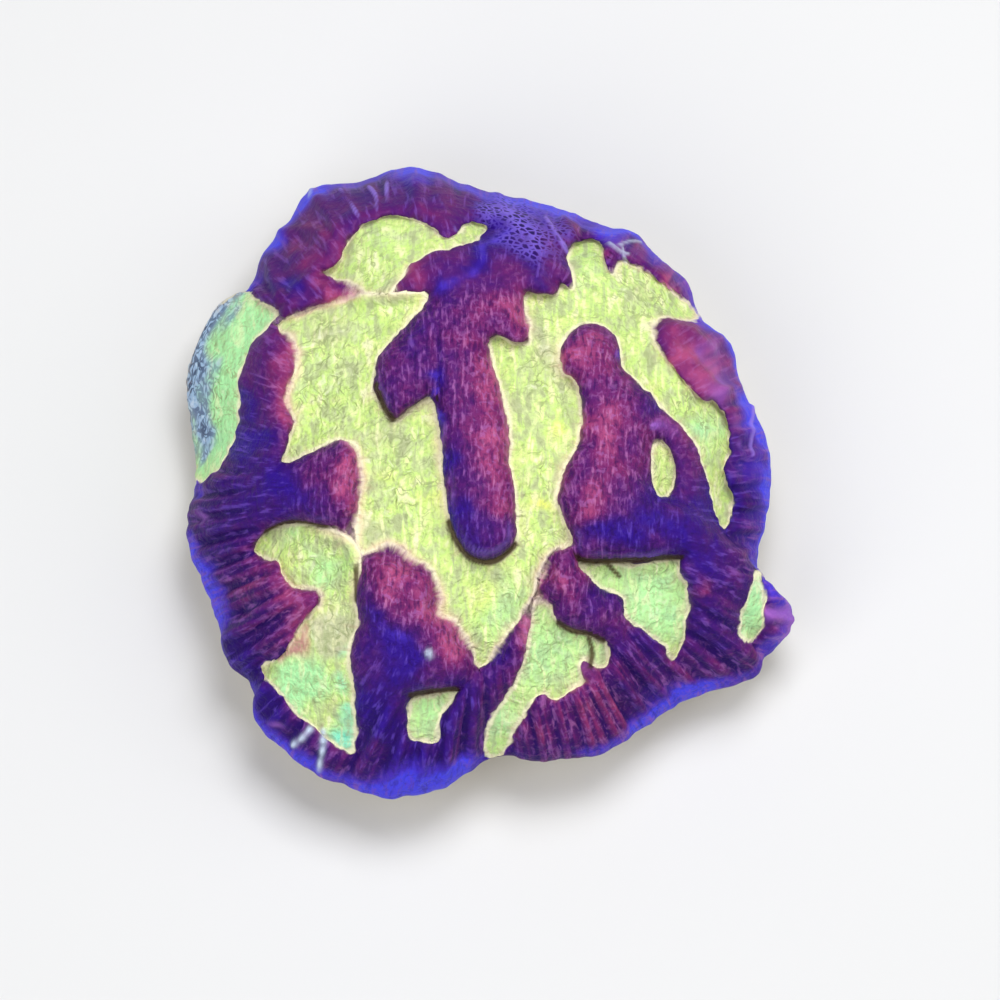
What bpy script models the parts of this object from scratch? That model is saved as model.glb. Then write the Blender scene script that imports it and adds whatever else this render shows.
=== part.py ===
# Brain coral: one domed head that grew as one piece. Broad rounded ridges wind between fleshy valleys,
# and a folded lip overhangs a wall that runs down to the flat cut where the head grew on the rock.
# Metres, +Z up, the cut at z = 0 and the front towards -Y.

import math

import bmesh
import bpy
import numpy as np
from mathutils import Vector, noise

# Driving sizes, in metres.
HEAD_WIDTH = 0.105  # across the lip, from left to right
CROWN_HEIGHT = 0.050  # from the cut to the top of the dome
LIP_HEIGHT = 0.015  # of the lip's outermost line above the cut
LIP_WAVE = 0.0022  # how far the lip rises and dips on its way round
LIP_WAVE_REACH = 0.011  # above and below the lip, where its wave dies out
LIP_BENDS = [(3, 0.8, 0.6), (5, 2.1, 0.4)]  # waves round the head, phase and share of each
VALLEY_DEPTH = 0.0065  # from the ridges' crests to the valleys' floors
RIM_VALLEY_DEPTH = 0.0016  # where a valley runs out over the lip
RIDGE_SHOULDER = 0.0045  # from a ridge's foot to its crest, measured across
RIDGE_ROUNDNESS = 0.55  # 0.5 is a quarter circle, 1 a gentler slope
FLOOR_SAG = 0.0007  # how far a valley's middle lies below its edges
FLOOR_SAG_REACH = 0.005
FOLD_DEPTH = 0.0006  # of the radial folds above the lip
FOLD_DEPTH_AT_LIP = 0.00012
FOLD_SHARE_BEHIND = 0.3  # the folds are shallow round the back
FOLD_COUNT = 66
FOLD_SWAY = 1.6  # crowds the folds here and spreads them there
FOLD_SWAYS = 4
COSTA_DEPTH = 0.0004  # of the ribs on the wall below the lip
COSTA_COUNT = 44
LUMP_SIZE = 0.009
LUMP_HEIGHT = 0.0006
LOW_WALL_HEIGHT = 0.0022  # low walls that part two valleys
LOW_WALL_WIDTH = 0.0018

# The head was drawn from its front, this far above the horizon, in pixels with y downwards.
DRAWN_ELEVATION = math.radians(70)
TOWARDS_DRAWER = np.array([0, -math.cos(DRAWN_ELEVATION), math.sin(DRAWN_ELEVATION)])
DRAWN_CENTRE = (488, 480)
DRAWN_WIDTH = 600
PIXEL = HEAD_WIDTH / DRAWN_WIDTH

GRID_STEPS = 260  # of the sheet that is wrapped over the head
TRIANGLES = 9300
CURVE_STEPS = 4  # between two drawn points

# Section from the crown over the lip to below the cut: share of the lip's radius, share of the height.
SECTION = [
    (0.00, 1.000),
    (0.16, 0.992),
    (0.34, 0.962),
    (0.54, 0.884),
    (0.72, 0.762),
    (0.86, 0.600),
    (0.955, 0.430),
    (1.00, 0.300),
    (0.985, 0.215),
    (0.92, 0.165),
    (0.82, 0.120),
    (0.745, 0.060),
    (0.715, 0.000),
    (0.70, -0.060),
]
LIP_ROW = 7  # the point of the section that is the lip's outermost line
LIP_SHARE = 0.80  # of the sheet's radius that lies above that line

# Where each kind of relief starts or ends, as shares of the sheet's radius.
CARVING_END = (LIP_SHARE, LIP_SHARE + 0.03)
RIM_STRETCH = (LIP_SHARE - 0.27, LIP_SHARE)
FOLDS_START = (LIP_SHARE - 0.24, LIP_SHARE - 0.08)
FOLDS_FADE = (LIP_SHARE - 0.12, LIP_SHARE)
FOLDS_END = (LIP_SHARE + 0.05, LIP_SHARE + 0.12)
COSTAE_START = (LIP_SHARE + 0.08, LIP_SHARE + 0.14)
BACK_START = (0.2, 0.8)  # sines of the angles round the head where its back begins

LIP = [
    (399, 169), (433, 173), (466, 185), (497, 194), (533, 202), (560, 209), (602, 226), (636, 233),
    (649, 246), (672, 266), (689, 284), (704, 318), (734, 345), (741, 380), (763, 425), (770, 465),
    (766, 516), (757, 566), (779, 597), (789, 620), (777, 645), (764, 655), (754, 674), (705, 688),
    (667, 704), (629, 733), (603, 747), (568, 752), (537, 758), (508, 751), (485, 756), (447, 783),
    (415, 790), (384, 792), (344, 779), (317, 770), (290, 750), (257, 716), (255, 692), (244, 674),
    (226, 656), (221, 625), (206, 585), (192, 549), (188, 515), (196, 483), (198, 456), (192, 416),
    (191, 370), (217, 309), (248, 286), (282, 235), (312, 192), (359, 182),
]

VALLEYS = {
    "upper left": [
        (344, 248), (369, 220), (396, 217), (427, 222), (447, 239), (464, 224), (474, 219), (489, 228),
        (471, 244), (440, 254), (418, 262), (398, 286), (391, 297), (369, 295), (351, 284), (326, 270),
    ],
    "middle": [
        (277, 325), (306, 311), (340, 301), (364, 293), (396, 291), (429, 293),
        (407, 326), (384, 351), (375, 382), (382, 402), (393, 420), (413, 407), (431, 396),
        (438, 416), (443, 453), (449, 510), (457, 537), (472, 556), (495, 558), (514, 541),
        (514, 501), (509, 463), (507, 419), (495, 376), (488, 344), (499, 335), (515, 342), (529, 336),
        (524, 297), (553, 291), (564, 262), (571, 245), (600, 240), (618, 262), (636, 262), (662, 282),
        (685, 300), (700, 320), (659, 321), (655, 334), (665, 357), (684, 380), (699, 397), (714, 403),
        (728, 421), (730, 443), (726, 470), (734, 490), (732, 517), (723, 528), (713, 519), (708, 494),
        (703, 470), (692, 443), (665, 414), (649, 396), (624, 371), (613, 338), (589, 324), (564, 342),
        (562, 367), (578, 387), (582, 409), (580, 443), (567, 465), (558, 496), (560, 514), (574, 544),
        (551, 554), (540, 577), (530, 604), (508, 634), (479, 670), (471, 647), (456, 625), (438, 612),
        (441, 598), (433, 574), (411, 558), (389, 545), (364, 552), (357, 513), (362, 481), (357, 452),
        (341, 441), (322, 448), (290, 462), (284, 456), (293, 422), (286, 398), (295, 371), (293, 343),
    ],
    "left rim": [
        (262, 302), (279, 315), (255, 342), (242, 376), (239, 420), (224, 465), (197, 482), (188, 440),
        (184, 380), (205, 318), (240, 290),
    ],
    "lower left": [
        (253, 549), (268, 529), (293, 521), (326, 529), (345, 546), (360, 567), (357, 598), (360, 620),
        (344, 652), (355, 679), (356, 748), (344, 750), (326, 737), (297, 714), (270, 683), (259, 667),
        (284, 652), (304, 634), (320, 603), (295, 585), (282, 571), (272, 557),
    ],
    "window": [
        (411, 696), (434, 692), (456, 690), (445, 710), (438, 741), (409, 741),
    ],
    "lower middle": [
        (534, 594), (552, 605), (559, 621), (590, 636), (607, 640), (603, 667), (590, 658), (579, 665),
        (581, 681), (552, 701), (537, 694), (525, 708), (508, 750), (485, 756), (490, 714), (510, 683),
        (528, 645),
    ],
    "lower right": [
        (578, 561), (634, 563), (676, 557), (679, 572), (688, 586), (685, 628), (674, 660), (656, 639),
        (625, 619), (621, 599), (600, 588),
    ],
    "pit in the right ridge": [
        (650, 443), (665, 443), (676, 465), (672, 490), (661, 496), (652, 488),
    ],
    "lobe": [
        (754, 570), (763, 586), (762, 628), (750, 642), (737, 633), (742, 606),
    ],
}

LOW_WALLS = [
    [(362, 296), (396, 292), (430, 290)],
    [(334, 524), (350, 546), (362, 570)],
    [(548, 552), (541, 578), (530, 606)],
]


def smooth_curve(points, closed):
    """A Catmull-Rom curve through the points."""
    corners = np.array(points, dtype=float)
    if closed:
        before, after, later = (np.roll(corners, shift, axis=0) for shift in (1, -1, -2))
        here = corners
    else:
        padded = np.vstack([2 * corners[0] - corners[1], corners, 2 * corners[-1] - corners[-2]])
        before, here, after, later = padded[:-3], padded[1:-2], padded[2:-1], padded[3:]
    t = np.arange(CURVE_STEPS)[None, :, None] / CURVE_STEPS
    a, b, c, d = (stack[:, None, :] for stack in (before, here, after, later))
    curve = 0.5 * (2 * b + (c - a) * t + (2 * a - 5 * b + 4 * c - d) * t**2 + (3 * b - a - 3 * c + d) * t**3)
    curve = curve.reshape(-1, 2)
    return curve if closed else np.vstack([curve, corners[-1]])


def distance_to_line(points, line, closed):
    """Each point's distance from a line of points, and whether it is inside where the line is closed."""
    ends = np.roll(line, -1, axis=0) if closed else line[1:]
    starts = line if closed else line[:-1]
    nearest = np.full(len(points), np.inf)
    inside = np.zeros(len(points), dtype=bool)
    for start, end in zip(starts, ends):
        run = end - start
        offset = points - start
        share = np.clip(offset @ run / max(run @ run, 1e-12), 0, 1)
        nearest = np.minimum(nearest, ((offset - share[:, None] * run) ** 2).sum(axis=1))
        if closed and run[1] != 0:
            spans = (start[1] > points[:, 1]) != (end[1] > points[:, 1])
            crossing = start[0] + (points[:, 1] - start[1]) * run[0] / run[1]
            inside ^= spans & (points[:, 0] < crossing)
    return np.sqrt(nearest), inside


def smooth_step(stretch, value):
    """Rises smoothly from 0 to 1 over a stretch of values."""
    low, high = stretch
    share = np.clip((value - low) / (high - low), 0, 1)
    return share * share * (3 - 2 * share)


def blend(start, end, share):
    return start + (end - start) * share


def lip_wave(angle):
    """How far the lip stands above or below its mean height at an angle round the head."""
    return LIP_WAVE * sum(share * np.sin(bends * angle + phase) for bends, phase, share in LIP_BENDS)


def lip_radius():
    """Angles round the head, and the lip's distance from its axis at each."""
    drawn = smooth_curve(LIP, closed=True)
    x = (drawn[:, 0] - DRAWN_CENTRE[0]) * PIXEL
    up = (DRAWN_CENTRE[1] - drawn[:, 1]) * PIXEL
    level = up / math.sin(DRAWN_ELEVATION)
    rise = lip_wave(np.arctan2(level, x))
    y = (up - rise * math.cos(DRAWN_ELEVATION)) / math.sin(DRAWN_ELEVATION)
    angle = np.arctan2(y, x)
    order = np.argsort(angle)
    return angle[order], np.hypot(x, y)[order]


def section_at(share):
    """Radius share and height share of the head's section, from 0 at the crown to 1 below the cut."""
    line = smooth_curve(SECTION, closed=False)
    steps = np.diff(line, axis=0) * [HEAD_WIDTH / 2, CROWN_HEIGHT]
    walked = np.concatenate([[0], np.cumsum(np.hypot(steps[:, 0], steps[:, 1]))])
    lip = walked[LIP_ROW * CURVE_STEPS]
    along = np.where(
        share < LIP_SHARE,
        share / LIP_SHARE * lip,
        lip + (share - LIP_SHARE) / (1 - LIP_SHARE) * (walked[-1] - lip),
    )
    return np.interp(along, walked, line[:, 0]), np.interp(along, walked, line[:, 1])


def wrapped_sheet(square):
    """A square sheet's points on the head's envelope, with their angle and share of the way down."""
    a, b = square[:, 0], square[:, 1]
    disc_x = a * np.sqrt(1 - b * b / 2)
    disc_y = b * np.sqrt(1 - a * a / 2)
    share = np.clip(np.hypot(disc_x, disc_y), 0, 1)
    angle = np.arctan2(disc_y, disc_x)
    radius_share, height_share = section_at(share)
    angles, radii = lip_radius()
    radius = radius_share * np.interp(angle, angles, radii, period=2 * math.pi)
    height = height_share * CROWN_HEIGHT
    near_lip = np.exp(-(((height - LIP_HEIGHT) / LIP_WAVE_REACH) ** 2))
    height = height + lip_wave(angle) * near_lip
    points = np.column_stack([radius * np.cos(angle), radius * np.sin(angle), height])
    return points, angle, share


def drawn_place(points):
    """Where points on the head lie in the drawing, in metres from its centre."""
    across = points[:, 0]
    up = points[:, 1] * math.sin(DRAWN_ELEVATION) + (points[:, 2] - LIP_HEIGHT) * math.cos(DRAWN_ELEVATION)
    return np.column_stack([across, up])


def in_metres(points, closed):
    curve = smooth_curve(points, closed)
    return (curve - np.array(DRAWN_CENTRE)) * np.array([PIXEL, -PIXEL])


def valley_distance(places):
    """Distance from the nearest valley's edge: positive on the ridges, negative in the valleys."""
    nearest = np.full(len(places), np.inf)
    for outline in VALLEYS.values():
        distance, inside = distance_to_line(places, in_metres(outline, closed=True), closed=True)
        nearest = np.minimum(nearest, np.where(inside, -distance, distance))
    return nearest


def low_walls(places):
    height = np.zeros(len(places))
    for line in LOW_WALLS:
        distance, _ = distance_to_line(places, in_metres(line, closed=False), closed=False)
        height = np.maximum(height, LOW_WALL_HEIGHT * np.exp(-((distance / LOW_WALL_WIDTH) ** 2)))
    return height


def lumps(points):
    return np.array([noise.noise(Vector(point) / LUMP_SIZE) for point in points]) * LUMP_HEIGHT


def crest_share(distance):
    """0 in the valleys, rising to 1 on the ridges' crests."""
    rise = np.clip(distance / RIDGE_SHOULDER, 0, 1)
    return (1 - (1 - rise) ** 2) ** RIDGE_ROUNDNESS


def carving(distance, places, share):
    """How far each point sinks from the envelope along the line towards the drawer: 0 on the crests."""
    depth = blend(VALLEY_DEPTH, RIM_VALLEY_DEPTH, smooth_step(RIM_STRETCH, share))
    sag = FLOOR_SAG * smooth_step((0, FLOOR_SAG_REACH), -distance)
    carved = (crest_share(distance) - 1) * depth - sag + low_walls(places) * (distance < 0)
    return carved * (1 - smooth_step(CARVING_END, share))


def surface_relief(points, distance, angle, share):
    """Folds on the lip, ribs on the wall below it and lumps all over, along the envelope's normal."""
    fold_band = smooth_step(FOLDS_START, share) * (1 - smooth_step(FOLDS_END, share))
    fold_depth = blend(FOLD_DEPTH, FOLD_DEPTH_AT_LIP, smooth_step(FOLDS_FADE, share))
    fold_depth = fold_depth * blend(1, FOLD_SHARE_BEHIND, smooth_step(BACK_START, np.sin(angle)))
    folds = np.cos(FOLD_COUNT * angle + FOLD_SWAY * np.sin(FOLD_SWAYS * angle))
    folds = folds * fold_depth * fold_band * crest_share(distance)
    costae = COSTA_DEPTH * np.cos(COSTA_COUNT * angle) * smooth_step(COSTAE_START, share)
    return folds + costae + lumps(points)


def tissue_material():
    material = bpy.data.materials.new("coral_tissue")
    material.use_nodes = True
    shader = material.node_tree.nodes["Principled BSDF"]
    shader.inputs["Base Color"].default_value = (0.065, 0.012, 0.16, 1)
    shader.inputs["Roughness"].default_value = 0.45
    shader.inputs["Metallic"].default_value = 0
    return material


def coral_head():
    """The whole head: a sheet wrapped over the envelope, its relief, and the flat cut."""
    grid = bmesh.new()
    bmesh.ops.create_grid(grid, x_segments=GRID_STEPS, y_segments=GRID_STEPS, size=1)
    mesh = bpy.data.meshes.new("coral_head")
    grid.to_mesh(mesh)
    grid.free()
    sheet = np.empty(len(mesh.vertices) * 3)
    mesh.vertices.foreach_get("co", sheet)
    points, angle, share = wrapped_sheet(sheet.reshape(-1, 3)[:, :2])
    mesh.vertices.foreach_set("co", points.ravel())
    mesh.update()
    normals = np.empty(len(mesh.vertices) * 3)
    mesh.vertices.foreach_get("normal", normals)
    places = drawn_place(points)
    distance = valley_distance(places)
    texture = surface_relief(points, distance, angle, share)
    points += normals.reshape(-1, 3) * texture[:, None]
    points += TOWARDS_DRAWER * carving(distance, places, share)[:, None]
    mesh.vertices.foreach_set("co", points.ravel())
    mesh.update()

    head = bpy.data.objects.new("coral_head", mesh)
    bpy.context.collection.objects.link(head)
    thin = head.modifiers.new("thin", "DECIMATE")
    thin.ratio = TRIANGLES / (2 * len(mesh.polygons))
    with bpy.context.temp_override(object=head):
        bpy.ops.object.modifier_apply(modifier=thin.name)
    cut_flat(head.data)
    head.data.materials.append(tissue_material())
    head.data.shade_smooth()
    head.data.set_sharp_from_angle(angle=math.radians(60))
    return head


def cut_flat(mesh):
    """Cuts the head off at z = 0 and closes the cut."""
    body = bmesh.new()
    body.from_mesh(mesh)
    everything = body.verts[:] + body.edges[:] + body.faces[:]
    bmesh.ops.bisect_plane(body, geom=everything, plane_co=(0, 0, 0), plane_no=(0, 0, -1), clear_outer=True)
    rim = [edge for edge in body.edges if edge.is_boundary]
    bmesh.ops.contextual_create(body, geom=rim)
    bmesh.ops.recalc_face_normals(body, faces=body.faces[:])
    body.to_mesh(mesh)
    body.free()


for leftover in list(bpy.data.objects):
    bpy.data.objects.remove(leftover, do_unlink=True)
coral_head()
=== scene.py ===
import math
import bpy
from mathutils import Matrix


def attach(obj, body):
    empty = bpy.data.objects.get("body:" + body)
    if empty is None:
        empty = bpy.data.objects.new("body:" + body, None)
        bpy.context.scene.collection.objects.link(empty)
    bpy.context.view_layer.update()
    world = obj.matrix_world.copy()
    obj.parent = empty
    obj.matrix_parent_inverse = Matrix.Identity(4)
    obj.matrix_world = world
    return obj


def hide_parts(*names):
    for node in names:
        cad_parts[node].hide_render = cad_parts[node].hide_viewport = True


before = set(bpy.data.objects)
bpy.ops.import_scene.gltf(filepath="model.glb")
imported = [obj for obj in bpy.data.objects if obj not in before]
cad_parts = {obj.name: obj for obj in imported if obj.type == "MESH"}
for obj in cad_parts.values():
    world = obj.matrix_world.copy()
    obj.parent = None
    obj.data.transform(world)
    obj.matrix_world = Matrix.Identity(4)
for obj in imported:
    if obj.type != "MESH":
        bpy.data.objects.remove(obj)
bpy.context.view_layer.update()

from types import SimpleNamespace

import bpy
import numpy as np
from mathutils import Vector, noise

# The coral is drawn as it is seen from its front, 70 degrees above the horizon.
# Drawn points are in pixels of a 1000 x 1000 view, with y downwards. Lengths are in metres.
drawn = {
    "elevation": math.radians(70),
    "viewWidth": 1000,
    "centre": (488, 480),
    "width": 600,  # pixels across the head
    "headWidth": 0.105,  # the same width in metres
    "curveSteps": 4,  # between two drawn points
}
pixel = drawn["headWidth"] / drawn["width"]
sine, cosine = math.sin(drawn["elevation"]), math.cos(drawn["elevation"])  # of the view's angle
toView = np.array([0, -cosine, sine])  # from the head to the eye

lipOutline = [
    (399, 169), (433, 173), (466, 185), (497, 194), (533, 202), (560, 209), (602, 226), (636, 233),
    (649, 246), (672, 266), (689, 284), (704, 318), (734, 345), (741, 380), (763, 425), (770, 465),
    (766, 516), (757, 566), (779, 597), (789, 620), (777, 645), (764, 655), (754, 674), (705, 688),
    (667, 704), (629, 733), (603, 747), (568, 752), (537, 758), (508, 751), (485, 756), (447, 783),
    (415, 790), (384, 792), (344, 779), (317, 770), (290, 750), (257, 716), (255, 692), (244, 674),
    (226, 656), (221, 625), (206, 585), (192, 549), (188, 515), (196, 483), (198, 456), (192, 416),
    (191, 370), (217, 309), (247, 288), (260, 258), (278, 234), (309, 191), (359, 181),
]

valleyOutlines = {
    "upperLeft": [
        (344, 246), (356, 229), (376, 219), (397, 217), (427, 222), (447, 239), (464, 224), (474, 219),
        (489, 228), (471, 244), (440, 254), (418, 262), (398, 286), (391, 297), (369, 295), (351, 286),
        (331, 278), (323, 271), (339, 262),
    ],
    "middle": [
        (277, 325), (306, 311), (340, 301), (364, 293), (396, 291), (429, 293), (407, 326), (384, 351),
        (375, 382), (382, 402), (393, 420), (413, 407), (431, 396), (438, 416), (443, 453), (449, 510),
        (457, 537), (472, 556), (495, 558), (514, 541), (514, 501), (509, 463), (507, 419), (495, 376),
        (488, 344), (499, 335), (515, 342), (529, 338), (524, 297), (540, 294), (555, 292), (561, 281),
        (572, 287), (570, 270), (566, 254), (576, 242), (592, 239), (602, 244), (606, 261), (612, 273),
        (619, 260), (632, 263), (647, 272), (662, 282), (685, 300), (700, 320), (659, 321), (655, 334),
        (665, 357), (684, 380), (699, 397), (714, 403), (728, 421), (730, 443), (726, 474), (732, 492),
        (733, 511), (727, 526), (719, 527), (712, 514), (708, 494), (703, 470), (692, 443), (665, 414),
        (649, 396), (624, 371), (613, 338), (589, 324), (564, 342), (562, 367), (578, 387), (582, 409),
        (580, 443), (567, 465), (558, 496), (560, 514), (574, 544), (551, 554), (540, 577), (530, 604),
        (508, 634), (479, 670), (471, 647), (456, 625), (438, 612), (441, 598), (433, 574), (411, 558),
        (389, 545), (362, 558), (355, 528), (357, 510), (362, 481), (357, 452), (341, 441), (322, 448),
        (290, 462), (284, 456), (293, 422), (286, 398), (295, 371), (293, 343),
    ],
    "leftRim": [
        (262, 302), (279, 315), (255, 342), (242, 376), (239, 420), (224, 465), (197, 482), (188, 440),
        (184, 380), (205, 318), (240, 290),
    ],
    "lowerLeft": [
        (253, 548), (268, 530), (293, 521), (334, 527), (352, 536), (364, 556), (357, 598), (360, 620),
        (353, 645), (352, 668), (356, 690), (356, 748), (344, 750), (326, 737), (297, 714), (270, 683),
        (259, 666), (279, 655), (290, 642), (304, 620), (321, 601), (315, 590), (293, 586), (283, 577),
        (279, 563), (262, 558),
    ],
    "window": [
        (409, 698), (432, 692), (459, 688), (446, 709), (440, 724), (438, 740), (411, 740), (408, 720),
    ],
    "lowerMiddle": [
        (534, 596), (551, 605), (560, 622), (590, 634), (607, 642), (606, 666), (596, 668), (588, 662),
        (581, 663), (584, 680), (572, 687), (555, 700), (543, 693), (533, 698), (527, 710), (519, 721),
        (507, 750), (485, 756), (489, 720), (508, 690), (520, 667), (529, 632),
    ],
    "lowerRight": [
        (578, 561), (634, 563), (676, 557), (679, 572), (688, 586), (685, 628), (674, 660), (656, 639),
        (625, 619), (621, 599), (600, 588),
    ],
    "pit": [
        (652, 443), (664, 442), (674, 456), (677, 476), (671, 493), (658, 497), (651, 482), (649, 460),
    ],
    "lobe": [
        (754, 570), (763, 586), (762, 628), (750, 642), (737, 633), (742, 606),
    ],
}

beadedThreads = [  # slime that lies in beads and rods
    [(311, 728), (304, 736), (295, 743)], [(324, 730), (322, 748), (320, 768)], [(429, 651), (431, 655)],
]
fineThreads = [
    [(618, 246), (630, 241), (641, 242)], [(609, 243), (618, 250), (628, 254)], [(622, 248), (626, 262)],
    [(309, 196), (311, 189)],
]
creaseLines = [  # clefts at the feet of ridges that hang over, sunk and painted with dark shade
    [(450, 522), (458, 542), (473, 558), (495, 560), (514, 545)],
    [(574, 556), (592, 560), (625, 559), (655, 556), (682, 556)],
    [(411, 693), (432, 689), (456, 686)], [(559, 621), (572, 629), (590, 632), (603, 639)],
    [(379, 386), (384, 404), (393, 419)],
]
fineCreases = [  # shallow clefts and lines between folds, sunk and painted with shade too
    [(588, 637), (592, 652), (589, 667)], [(357, 566), (357, 600)], [(606, 562), (613, 570), (619, 576)],
    [(264, 531), (292, 520), (328, 526)], [(278, 592), (262, 597), (242, 602)],
    [(430, 322), (437, 350), (440, 400)],
    [(750, 402), (751, 430), (747, 455), (741, 478)], [(240, 612), (264, 618)], [(228, 570), (258, 568)],
]
pleatLines = [  # thin pale ribs that run out to the lip
    [(340, 190), (350, 203), (359, 218)], [(369, 188), (376, 198), (377, 212)], [(387, 182), (387, 203)],
    [(437, 196), (446, 212), (455, 230)], [(545, 218), (556, 234), (566, 254)],
    [(753, 406), (751, 430), (749, 456)],
]
foldLines = [  # broader folds
    [(284, 234), (303, 229), (320, 235), (342, 254)], [(272, 258), (276, 282), (284, 305)],
    [(256, 290), (264, 304), (272, 318)], [(288, 308), (300, 288), (324, 272)],
    [(318, 200), (330, 216), (340, 236)], [(415, 186), (418, 216)], [(563, 222), (574, 236)],
    [(672, 328), (690, 336), (710, 352)], [(668, 350), (684, 356), (704, 380), (720, 392)],
    [(766, 597), (777, 603), (785, 610)], [(764, 618), (776, 616), (789, 619)],
    [(763, 636), (774, 632), (783, 630)],
]

lowWalls = [  # thin walls of flesh between one valley and the next
    [(362, 296), (396, 292), (430, 290)],
    [(334, 524), (350, 546), (362, 570)],
    [(548, 552), (541, 578), (530, 606)],
]

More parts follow.
